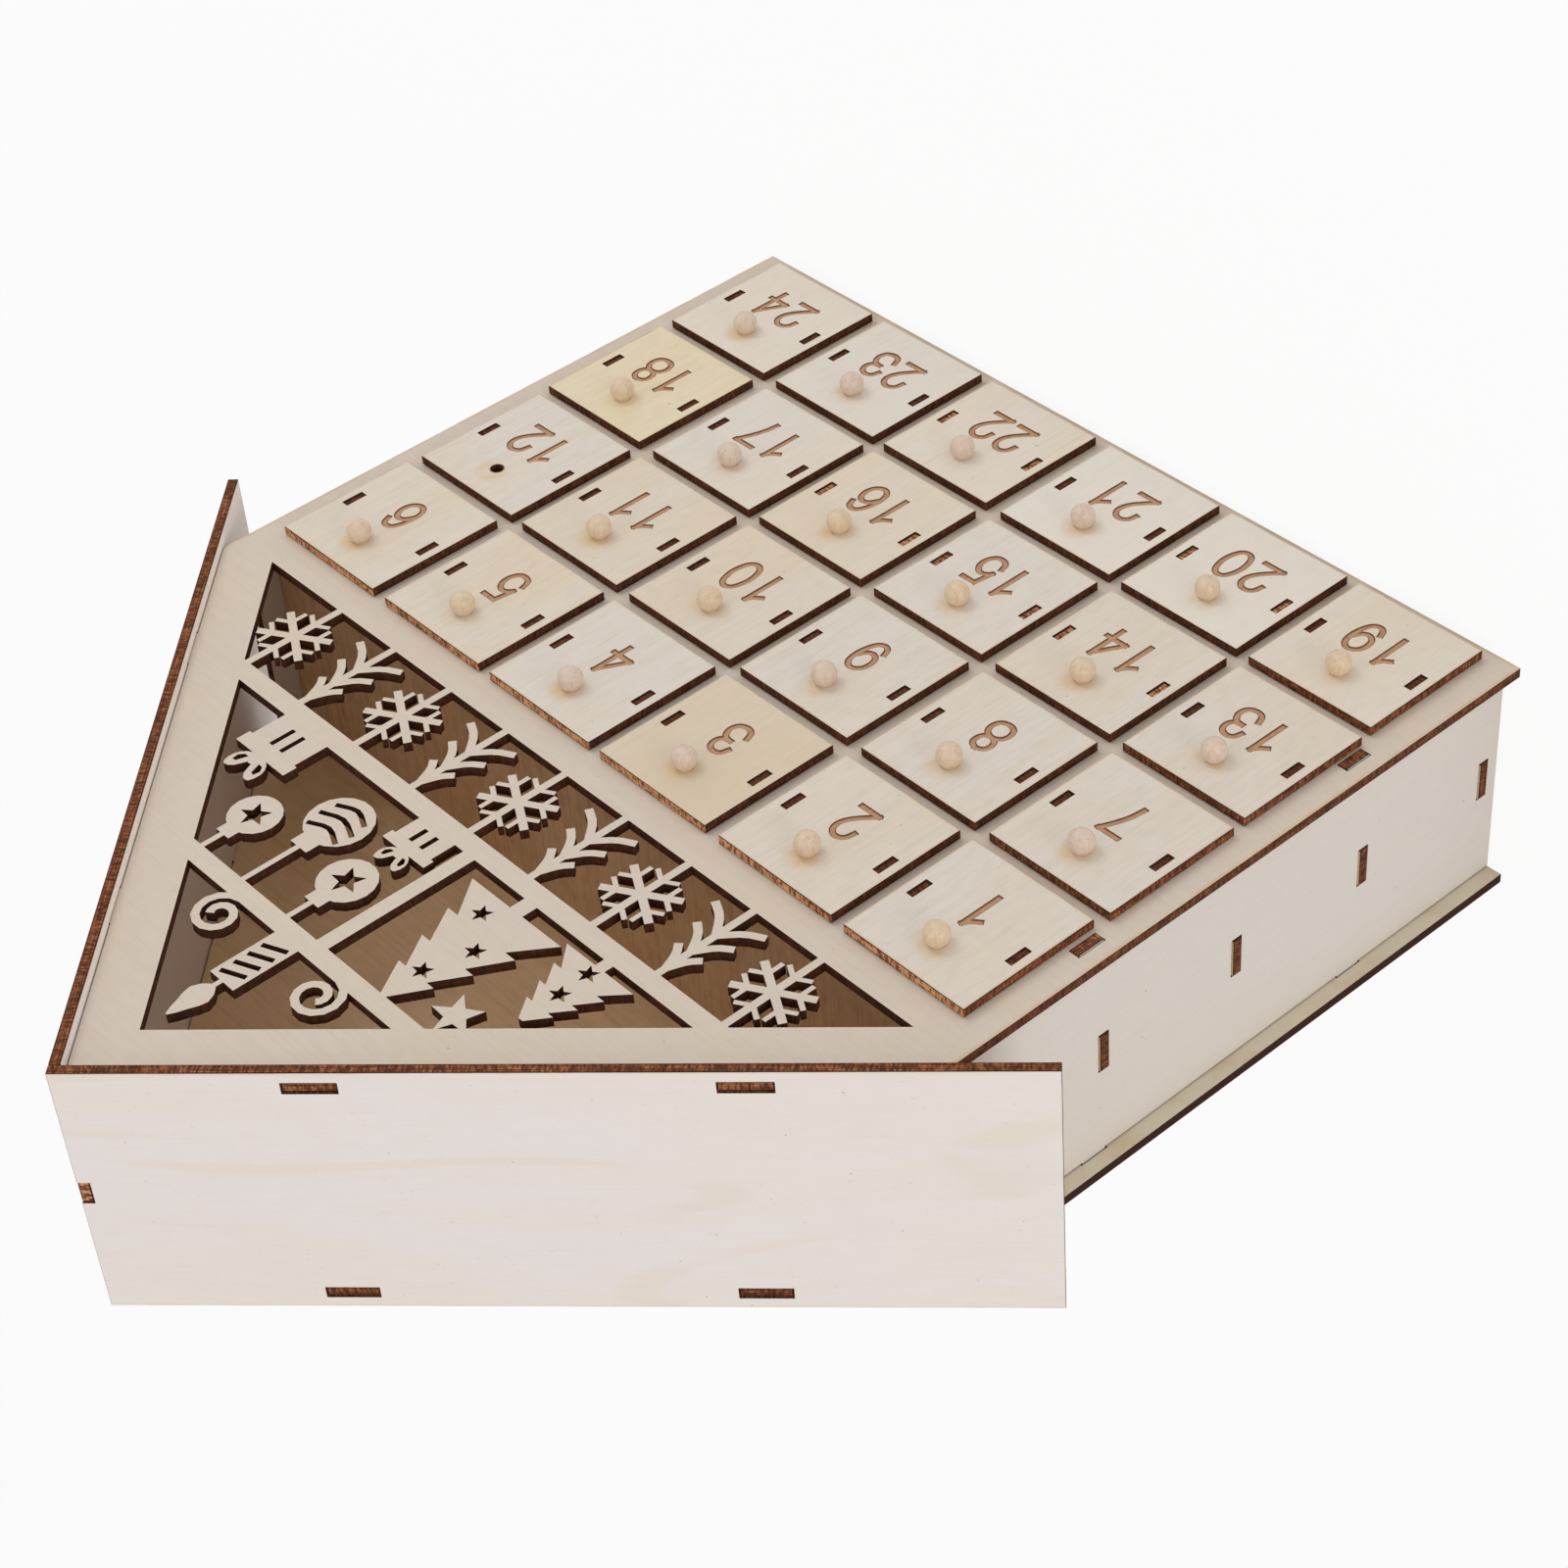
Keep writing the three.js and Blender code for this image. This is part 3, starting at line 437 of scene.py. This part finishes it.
# Drawer trays
# Open boxes of 2 mm plywood: a floor, a back and two sides, with fingers in turn at the corners.
# The sides' front tabs are glued into the two slots of the drawer's front.
tray_sheet = 0.002
tray_arris = 0.00008
at_joint = 0.0002
cut_tolerance = 0.000001
facing = 0.6
leaning = 0.5
fingers = 5
pale_tabs = (14, 15, 16, 20, 22)
pale_tab_toast = 0.55
dark_tab_toast = 0.12
tray_veneer = veneer(
    "tray_veneer", linear(229, 213, 192), linear(223, 202, 172), linear(203, 178, 148), 0.32)[0]
for number in range(1, 25):
    node = f"drawer_tray_{number:02d}"
    low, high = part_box(node)
    shape = board_shape(node)
    cuts = [(high.y - tray_sheet, Y), (low.x + tray_sheet, X), (high.x - tray_sheet, X),
            (low.z + tray_sheet, Z)]
    cuts += [(low.z + (high.z - low.z) * step / fingers, Z) for step in range(1, fingers)]
    for level, axis in cuts:
        bmesh.ops.bisect_plane(shape, geom=shape.verts[:] + shape.edges[:] + shape.faces[:],
                               dist=cut_tolerance, plane_co=axis * level, plane_no=axis)
    scorch_arrises(shape, tray_arris)
    middle = (low + high) / 2
    half = Vector((tray_sheet, tray_sheet, tray_sheet)) / 2
    boards = {"left": [], "right": [], "back": [], "floor": []}
    for face in shape.faces:
        centre = face.calc_center_median()
        side = "left" if centre.x < middle.x else "right"
        step = min(fingers - 1, int((centre.z - low.z) / (high.z - low.z) * fingers))
        at_side = min(centre.x - low.x, high.x - centre.x) < tray_sheet
        if abs(face.normal.z) > facing and centre.z < low.z + tray_sheet + at_joint:
            boards["floor"].append(face)
        elif at_side and centre.y > high.y - tray_sheet:
            boards["back" if step % 2 else side].append(face)
        elif abs(face.normal.x) > facing:
            boards[side].append(face)
        elif centre.y > high.y - tray_sheet - at_joint:
            boards["back"].append(face)
        else:
            boards["floor" if centre.z < low.z + tray_sheet and not at_side else side].append(face)
    tab_end = pale_tab_toast if number in pale_tabs else dark_tab_toast
    for board, along, out, corner in (("left", Y, X, low + half), ("right", Y, X, high - half),
                                      ("back", X, Y, high - half), ("floor", Y, Z, low + half)):
        board_middle = middle + out * (corner - middle).dot(out)
        lay_grain(shape, boards[board], board_middle, along, out, tray_sheet,
                  20 + number * 1.7 + 0.3 * list(boards).index(board),
                  toasted=lambda face, toast: tab_end if face.normal.y < -leaning else toast)
    fitted(f"tray_{number:02d}", shape, [tray_veneer, burnt], f"drawer_{number:02d}", "tray_plywood", node)

# Drawer fronts
# Squares of plywood, each with two slots for its tray's tabs, a hole for the knob's pin and an
# engraved number. The engraving is a shallow brown recess with a darker outline.
front_sheet = 0.0028
front_width = 0.0429333
front_height = 0.0445
slot_width = 0.0022
slot_height = 0.0068
slot_middle = 0.0175167
knob_rise = front_height / 2 - 0.0116
knob_hole = 0.0019
numeral_height = 0.0144
numeral_width = 0.0085
numeral_gap = 0.0012
numeral_top = front_height / 2 - 0.0200
stroke_width = 0.0019
outline_width = 0.0003
outline_depth = 0.00022
engraved_depth = 0.00032
above_face = 0.001
on_face = 0.00001
front_arris = 0.00015

# Centre lines of the ten numerals, in shares of their width and height; a run is a smooth line
six = [(0.93, 0.78), (0.80, 0.94), (0.55, 1.0), (0.28, 0.93), (0.10, 0.72), (0.02, 0.42), (0.10, 0.15),
       (0.34, 0.01), (0.62, 0.01), (0.88, 0.13), (0.97, 0.33), (0.88, 0.53), (0.62, 0.63), (0.32, 0.58),
       (0.08, 0.38)]
numerals = {
    "0": [[(0.5, 1.0), (0.84, 0.88), (1.0, 0.5), (0.84, 0.12), (0.5, 0.0), (0.16, 0.12), (0.0, 0.5),
           (0.16, 0.88), (0.5, 1.0)]],
    "1": [[(0.16, 0.74), (0.42, 0.85), (0.62, 1.0)], [(0.62, 1.0), (0.62, 0.0)]],
    "2": [[(0.03, 0.70), (0.12, 0.90), (0.38, 1.0), (0.66, 0.99), (0.90, 0.86), (0.93, 0.66),
           (0.74, 0.43), (0.36, 0.18), (0.03, 0.0)],
          [(0.03, 0.0), (1.0, 0.0)]],
    "3": [[(0.04, 0.76), (0.16, 0.94), (0.46, 1.0), (0.78, 0.92), (0.88, 0.74), (0.74, 0.58), (0.40, 0.54)],
          [(0.40, 0.54), (0.76, 0.50), (0.97, 0.30), (0.86, 0.08), (0.50, 0.0), (0.17, 0.06), (0.01, 0.25)]],
    "4": [[(0.74, 0.0), (0.74, 1.0)], [(0.74, 1.0), (0.0, 0.32)], [(0.0, 0.32), (1.0, 0.32)]],
    "5": [[(0.92, 1.0), (0.24, 1.0)], [(0.24, 1.0), (0.10, 0.52)],
          [(0.10, 0.52), (0.38, 0.64), (0.68, 0.63), (0.93, 0.47), (0.96, 0.24), (0.76, 0.04),
           (0.44, 0.0), (0.14, 0.08), (0.01, 0.27)]],
    "6": [six],
    "7": [[(0.0, 1.0), (0.98, 1.0)], [(0.98, 1.0), (0.70, 0.68), (0.48, 0.34), (0.38, 0.0)]],
    "8": [[(0.5, 1.0), (0.82, 0.92), (0.90, 0.77), (0.80, 0.61), (0.5, 0.54), (0.20, 0.61), (0.10, 0.77),
           (0.18, 0.92), (0.5, 1.0)],
          [(0.5, 0.54), (0.86, 0.46), (0.99, 0.27), (0.86, 0.07), (0.5, 0.0), (0.14, 0.07), (0.01, 0.27),
           (0.14, 0.46), (0.5, 0.54)]],
    "9": [[(1 - u, 1 - v) for u, v in six]],
}


def smooth_run(points, steps=5):
    """A smooth line through the points, by a Bezier segment from each to the next."""
    if len(points) == 2:
        return points
    closed = points[0] == points[-1]
    line = []
    for index in range(len(points) - 1):
        start, end = Vector(points[index]), Vector(points[index + 1])
        before = Vector(points[index - 1] if index else points[-2] if closed else points[0])
        after = Vector(points[index + 2] if index + 2 < len(points) else points[1] if closed else points[-1])
        first, second = start + (end - before) / 6, end - (after - start) / 6
        line += interpolate_bezier(start, first, second, end, steps)[:-1]
    return line + [Vector(points[-1])]


def stroke_prism(cutter, line, width, depth):
    """Adds one pen stroke of the engraving tool: a flat ribbon sunk from above the face to depth."""
    half = width / 2
    reached = [Vector(point) for point in line]
    reached[0] = reached[0] + (reached[0] - reached[1]).normalized() * half
    reached[-1] = reached[-1] + (reached[-1] - reached[-2]).normalized() * half
    left, right = [], []
    for index, point in enumerate(reached):
        run = (reached[min(index + 1, len(reached) - 1)] - reached[max(index - 1, 0)]).normalized()
        sideways = Vector((-run.y, run.x)) * half
        left.append(cutter.verts.new((point.x + sideways.x, depth, point.y + sideways.y)))
        right.append(cutter.verts.new((point.x - sideways.x, depth, point.y - sideways.y)))
    floor = [cutter.faces.new((left[i], left[i + 1], right[i + 1], right[i])) for i in range(len(left) - 1)]
    raised = bmesh.ops.extrude_face_region(cutter, geom=floor)
    top = [item for item in raised["geom"] if isinstance(item, bmesh.types.BMVert)]
    bmesh.ops.translate(cutter, verts=top, vec=(0, -depth - above_face, 0))


def cut_away(shape, cutter):
    """The shape less the cutter, whose own overlapping parts count as one."""
    bmesh.ops.recalc_face_normals(cutter, faces=cutter.faces)
    pair = []
    for part in (shape, cutter):
        mesh = bpy.data.meshes.new("blank")
        part.to_mesh(mesh)
        part.free()
        pair.append(bpy.data.objects.new("blank", mesh))
        bpy.context.scene.collection.objects.link(pair[-1])
    cut = pair[0].modifiers.new("cut", "BOOLEAN")
    cut.object = pair[1]
    cut.solver = "EXACT"
    cut.use_self = True
    graph = bpy.context.evaluated_depsgraph_get()
    result = board_shape()
    result.from_mesh(pair[0].evaluated_get(graph).to_mesh())
    for blank in pair:
        mesh = blank.data
        bpy.data.objects.remove(blank)
        bpy.data.meshes.remove(mesh)
    return result


def front_blank():
    """The front before engraving: slots and pin hole cut, arrises scorched. Its face is at y 0."""
    shape = bmesh.new()
    bmesh.ops.create_cube(shape, size=1.0)
    bmesh.ops.scale(shape, vec=(front_width, front_sheet, front_height), verts=shape.verts)
    bmesh.ops.translate(shape, vec=(0, front_sheet / 2, 0), verts=shape.verts)
    cutter = bmesh.new()
    for side in (-1, 1):
        slot = bmesh.ops.create_cube(cutter, size=1.0)["verts"]
        bmesh.ops.scale(cutter, vec=(slot_width, front_sheet * 2, slot_height), verts=slot)
        bmesh.ops.translate(cutter, vec=(side * slot_middle, front_sheet / 2, 0), verts=slot)
    hole = bmesh.ops.create_cone(cutter, cap_ends=True, segments=32, radius1=knob_hole, radius2=knob_hole,
                                 depth=front_sheet * 2)["verts"]
    bmesh.ops.rotate(cutter, verts=hole, matrix=Matrix.Rotation(pi / 2, 3, "X"))
    bmesh.ops.translate(cutter, vec=(0, front_sheet / 2, knob_rise), verts=hole)
    shape = cut_away(shape, cutter)
    bmesh.ops.dissolve_limit(shape, angle_limit=flat_angle, verts=shape.verts, edges=shape.edges)
    scorch_arrises(shape, front_arris)
    return shape


def engraved(shape, label):
    """Two cuts: the whole stroke for the dark outline, then a narrower, deeper one for the fill."""
    total = len(label) * numeral_width + (len(label) - 1) * numeral_gap
    run_width, run_height = numeral_width - stroke_width, numeral_height - stroke_width
    for width, depth in ((stroke_width, outline_depth), (stroke_width - 2 * outline_width, engraved_depth)):
        cutter = bmesh.new()
        for place, digit in enumerate(label):
            left = -total / 2 + place * (numeral_width + numeral_gap) + stroke_width / 2
            foot = numeral_top - numeral_height + stroke_width / 2
            for run in numerals[digit]:
                line = [Vector((left + u * run_width, foot + v * run_height)) for u, v in smooth_run(run)]
                stroke_prism(cutter, line, width, depth)
        shape = cut_away(shape, cutter)
    return shape


def distance(tree, split, along, across):
    """How far a point of the front's face is from one spot on it."""
    squares = [maths(tree, "POWER", maths(tree, "SUBTRACT", split.outputs[axis], level), 2.0)
               for axis, level in ((0, along), (1, across))]
    return maths(tree, "SQRT", maths(tree, "ADD", *squares))


def front_finish(name, plain, warm, fibre_colour):
    """Veneer with the laser's smoke and a painted highlight along the outline, a glue stain by the knob that
    is partly painted shadow, and a dark ring at the knob's foot that is partly painted contact shadow.
    """
    made = veneer(name, plain, warm, fibre_colour, 0.26)
    finish, tree, shader, colour, split = smoked(made, front_height / 2, front_width / 2)
    shifted, warmth = made[5:7]
    resin = ranged(tree, noise(tree, shifted, (9, 240, 2), 1.0), 0.66, 0.78, 0.0, 0.6)
    resinous = maths(tree, "MULTIPLY", resin, ranged(tree, warmth, 0.2, 0.32))
    colour = mixed(tree, resinous, colour, linear(214, 178, 126))
    cloud = ranged(tree, distance(tree, split, knob_rise + 0.003, -0.004), 0.003, 0.022, 0.8, 0.35)
    peach = maths(tree, "MULTIPLY", cloud, ranged(tree, warmth, 0.42, 0.65))
    colour = mixed(tree, peach, colour, linear(218, 198, 172))
    patches = noise(tree, shifted, (90, 90, 2), 3.0, 0.5)
    # A glue stain set off towards +Z from the knob, on the side where the knob's shadow falls: partly a
    # stain, partly painted shadow of the knob.
    from_knob_stain_and_shadow = distance(tree, split, knob_rise + 0.0018, 0.0003)
    knob_stain_and_shadow = maths(tree, "MULTIPLY", ranged(tree, from_knob_stain_and_shadow, 0.0024, 0.0064, 0.6, 0.0),
                  ranged(tree, patches, 0.4, 0.6, 0.15, 1.0))
    colour = mixed(tree, knob_stain_and_shadow, colour, linear(222, 188, 130))
    # A dark ring round the knob's foot: partly glue, partly painted contact shadow under the ball.
    foot = ranged(tree, distance(tree, split, knob_rise, 0.0), 0.0019, 0.0027, 0.75, 0.0)
    colour = mixed(tree, foot, colour, linear(150, 108, 66))
    tree.links.new(colour, shader.inputs["Base Color"])
    return finish


def engraved_finish(name, colour, spread):
    """The floor of the engraving: toasted wood with the grain still showing through."""
    finish, tree, shader = blank_finish(name, 0.2)
    shifted = board_place(tree)[1]
    grain = noise(tree, shifted, (180, 2200, 2), 3.0)
    blotches = noise(tree, shifted, (520, 520, 2), 2.0)
    share = maths(tree, "ADD", ranged(tree, grain, 0.35, 0.7, 0.0, 0.6),
                  ranged(tree, blotches, 0.4, 0.7, 0.0, 0.4))
    tree.links.new(mixed(tree, share, colour, spread), shader.inputs["Base Color"])
    shader.inputs["Roughness"].default_value = 0.8
    return finish


def front_toast(place, upper, side, slot=0.12, inside=0.001):
    """How lightly a front's cut is toasted: inside its slots, along its upper edge and elsewhere. The
    upper-edge and side values carry painted light and shade.
    """
    def toasted(face, toast):
        reach = face.calc_center_median() - place
        if abs(reach.x) < front_width / 2 - inside and abs(reach.z) < front_height / 2 - inside:
            return slot
        return upper if face.normal.z > leaning else side
    return toasted


drawer_veneer = front_finish(
    "drawer_veneer", linear(226, 216, 205), linear(226, 208, 180), linear(210, 196, 177))
yellow_veneer = front_finish(
    "yellow_veneer", linear(231, 215, 182), linear(229, 208, 160), linear(215, 194, 152))
number_fill = engraved_finish("number_fill", linear(199, 157, 123), linear(177, 132, 99))
number_outline = engraved_finish("number_outline", linear(134, 93, 66), linear(114, 75, 51))
# Painted light and shade on the fronts' cut edges: row 1's upper edges face the open gable band and the
# first column lies beside the open border, so they are painted paler, as lit; the other fronts' edges face a
# neighbour across a narrow gap and are painted darker, as shaded.
row_1_upper_painted_light = 0.72
column_1_upper_painted_light = 0.26
plain_upper_painted_shade = 0.12
column_1_side_painted_light = 0.24
plain_side_painted_shade = 0.1
cool_fronts = (4, 7, 8, 9, 12, 15, 17, 20, 21, 23)
cream_fronts = (2, 5, 6, 10, 11, 19, 24)
resinous_fronts = (16, 22)
peach_front = 3
pale_fronts = (20, 21)
yellow_front = 18
for number in range(1, 25):
    node = f"drawer_front_{number:02d}"
    low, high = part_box(node)
    shape = engraved(front_blank(), str(number))
    place = Vector(((low.x + high.x) / 2, high.y - front_sheet, (low.z + high.z) / 2))
    bmesh.ops.translate(shape, verts=shape.verts, vec=place)
    shape.normal_update()
    middle = place + Vector((0, front_sheet / 2, 0))
    warmth = (-0.2 if number in cool_fronts else 0.2 if number in cream_fronts
              else 0.35 if number in resinous_fronts else 0.65 if number == peach_front else 0.05)
    # Fronts 20 and 21 are paler veneer; past drawer 12 each front is painted a little paler the higher its
    # number, painted light that grows towards the bottom rows.
    paleness_and_painted_light = 0.55 if number in pale_fronts else 0.03 * max(0, number - 12)
    column_1 = number % columns == 1
    upper_painted_toast = (row_1_upper_painted_light if number <= columns else column_1_upper_painted_light if column_1
                   else plain_upper_painted_shade)
    side_painted_toast = column_1_side_painted_light if column_1 else plain_side_painted_shade
    lay_grain(shape, shape.faces, middle, Z, Y, front_sheet, 60 + number * 2.3, warmth, paleness_and_painted_light,
              toasted=front_toast(place, upper_painted_toast, side_painted_toast))
    for face in shape.faces:
        sunk = face.calc_center_median().y - place.y
        if face.normal.y < -0.9 and on_face < sunk < front_sheet / 2:
            face.material_index = 2 if sunk > (outline_depth + engraved_depth) / 2 else 3
        elif on_face < sunk < engraved_depth and abs(face.normal.y) < 0.1:
            face.material_index = 3
    yellow = number == yellow_front
    finishes = [yellow_veneer if yellow else drawer_veneer, burnt, number_fill, number_outline]
    fitted(f"front_{number:02d}", shape, finishes, f"drawer_{number:02d}",
           "yellow_front_plywood" if yellow else "drawer_front_plywood", node)

# Knobs
# Turned beech balls of 7.2 mm, each on a pin that is glued through the front. Drawer 12 has lost its
# knob, and its hole is bare.
knob_radius = 0.0036
knob_stand = 0.0031
pin_clearance = 0.00005
pin_chamfer = 0.0002
no_plies = 2.0
bare_drawer = 12
pinkish_knobs = (3, 4, 7, 9, 13, 17, 21, 22, 23, 24)
yellowish_knobs = (1, 5, 10, 15, 16, 18, 19)


def turned_wood():
    """Plain turned beech, from yellowish to pinkish, with flecks where the end grain shows."""
    finish, tree, shader = blank_finish("turned_wood", 0.5)
    shader.inputs["Coat Weight"].default_value = 0.5
    shader.inputs["Coat Roughness"].default_value = 0.22
    shifted, warmth = board_place(tree)[1:3]
    colour = mixed(tree, warmth, linear(220, 195, 160), linear(217, 194, 176))
    lines = noise(tree, shifted, (160, 900, 900), 3.0, 0.4)
    colour = mixed(tree, ranged(tree, lines, 0.45, 0.72, 0.0, 0.5), colour, linear(200, 166, 130))
    flecks = noise(tree, shifted, (1500, 2600, 2600), 1.0)
    colour = mixed(tree, ranged(tree, flecks, 0.64, 0.76, 0.0, 0.55), colour, linear(176, 134, 100))
    tree.links.new(colour, shader.inputs["Base Color"])
    tree.links.new(ranged(tree, lines, 0.3, 0.7, 0.5, 0.64), shader.inputs["Roughness"])
    return finish


ball_finish = turned_wood()
for number in range(1, 25):
    if number == bare_drawer:
        continue
    low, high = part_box(f"drawer_front_{number:02d}")
    face_y = high.y - front_sheet
    middle = Vector(((low.x + high.x) / 2, face_y - knob_stand, (low.z + high.z) / 2 + knob_rise))
    shape = board_shape()
    rings = [radians(angle) for angle in range(0, 150, 10)]
    outline = [Vector((knob_radius * sin(a), -knob_radius * cos(a), 0)) for a in rings]
    pin, pin_end = knob_hole - pin_clearance, knob_stand + front_sheet
    outline += [Vector((pin, knob_stand, 0)), Vector((pin, pin_end - pin_chamfer, 0)),
                Vector((pin - pin_chamfer, pin_end, 0)), Vector((0, pin_end, 0))]
    outline = [point for point in outline if point.y <= knob_stand or point.x <= pin]
    line = [shape.verts.new(point) for point in outline]
    edges = [shape.edges.new(pair) for pair in zip(line, line[1:])]
    bmesh.ops.spin(shape, geom=line + edges, cent=(0, 0, 0), axis=(0, 1, 0), steps=36, angle=2 * pi,
                   use_merge=True)
    bmesh.ops.remove_doubles(shape, verts=shape.verts, dist=on_face)
    bmesh.ops.recalc_face_normals(shape, faces=shape.faces)
    bmesh.ops.translate(shape, verts=shape.verts, vec=middle)
    tint = 0.95 if number in pinkish_knobs else 0.1 if number in yellowish_knobs else 0.4
    lay_grain(shape, shape.faces, middle, Y, Z, no_plies, 130 + number * 3.7, tint)
    for face in shape.faces:
        face.material_index = 0
    fitted(f"knob_{number:02d}", shape, [ball_finish], f"drawer_{number:02d}", "drawer_front_plywood")

# Floor and studio
# A pale floor that runs on to white, and broad soft lamps in front, to the left and above.
floor_shape = bmesh.new()
bmesh.ops.create_grid(floor_shape, x_segments=1, y_segments=1, size=6.0)
floor_mesh = bpy.data.meshes.new("floor")
floor_shape.to_mesh(floor_mesh)
floor_shape.free()
floor = bpy.data.objects.new("floor", floor_mesh)
bpy.context.scene.collection.objects.link(floor)
floor_finish, tree, shader = blank_finish("pale_floor", 0.1)
shader.inputs["Base Color"].default_value = (0.93, 0.93, 0.93, 1)
shader.inputs["Roughness"].default_value = 0.9
glow = tree.nodes.new("ShaderNodeEmission")
glow.inputs["Strength"].default_value = 1.0
path = tree.nodes.new("ShaderNodeLightPath")
seen = maths(tree, "MAXIMUM", path.outputs["Is Camera Ray"],
             maths(tree, "MAXIMUM", path.outputs["Is Glossy Ray"], path.outputs["Is Transmission Ray"]))
blend = tree.nodes.new("ShaderNodeMixShader")
tree.links.new(maths(tree, "MULTIPLY", seen, 0.9), blend.inputs[0])
tree.links.new(shader.outputs[0], blend.inputs[1])
tree.links.new(glow.outputs[0], blend.inputs[2])
tree.links.new(blend.outputs[0], tree.nodes["Material Output"].inputs[0])
floor_mesh.materials.append(floor_finish)

world = bpy.data.worlds.new("studio")
bpy.context.scene.world = world
world.use_nodes = True
tree = world.node_tree
path = tree.nodes.new("ShaderNodeLightPath")
seen = maths(tree, "MAXIMUM", path.outputs["Is Camera Ray"],
             maths(tree, "MAXIMUM", path.outputs["Is Glossy Ray"], path.outputs["Is Transmission Ray"]))
tree.links.new(ranged(tree, seen, 0.0, 1.0, 0.55, 1.0), tree.nodes["Background"].inputs["Strength"])
tree.nodes["Background"].inputs["Color"].default_value = (1, 1, 1, 1)

for name, place, size, power in (("front_lamp", (0.9, -1.5, 0.25), 0.9, 7.4),
                                 ("left_lamp", (-1.9, -0.4, 0.45), 1.0, 10.0),
                                 ("upper_lamp", (0.2, -0.4, 2.1), 1.4, 8.0)):
    lamp = bpy.data.lights.new(name, "AREA")
    lamp.size = size
    lamp.energy = power
    stand = bpy.data.objects.new(name, lamp)
    aim = Vector((0, 0, 0.17)) - Vector(place)
    stand.matrix_world = Matrix.Translation(place) @ aim.to_track_quat("-Z", "Y").to_matrix().to_4x4()
    bpy.context.scene.collection.objects.link(stand)

bpy.context.view_layer.update()
